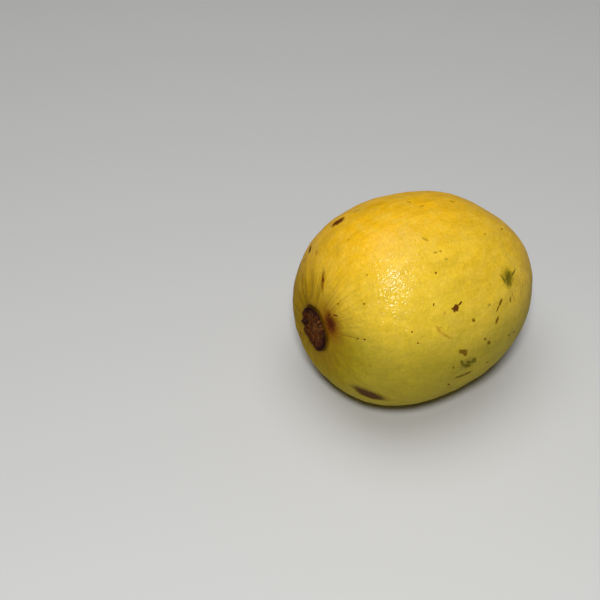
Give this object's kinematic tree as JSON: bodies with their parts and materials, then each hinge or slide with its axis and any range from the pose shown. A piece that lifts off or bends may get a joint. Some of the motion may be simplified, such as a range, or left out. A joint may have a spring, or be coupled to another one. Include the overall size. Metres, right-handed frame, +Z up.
{
  "type": "guava",
  "caption": "Whole ripe yellow guava lying on its side, a blunt oval fruit with a dark dried calyx at its flower end and the stub of its stalk at the other.",
  "frame": {"origin": "on the surface that the fruit rests on, under the middle of its box", "axes": "+X along the fruit from its flower end to its stem end, +Z up"},
  "size_m": [0.0792, 0.0652, 0.0661],
  "materials": {
    "skin": "satin",
    "dried_calyx": "matte",
    "dried_stalk": "matte"
  },
  "bodies": {
    "root": {"fruit": "skin", "calyx": "dried_calyx", "stem_stub": "dried_stalk"}
  },
  "joints": []
}
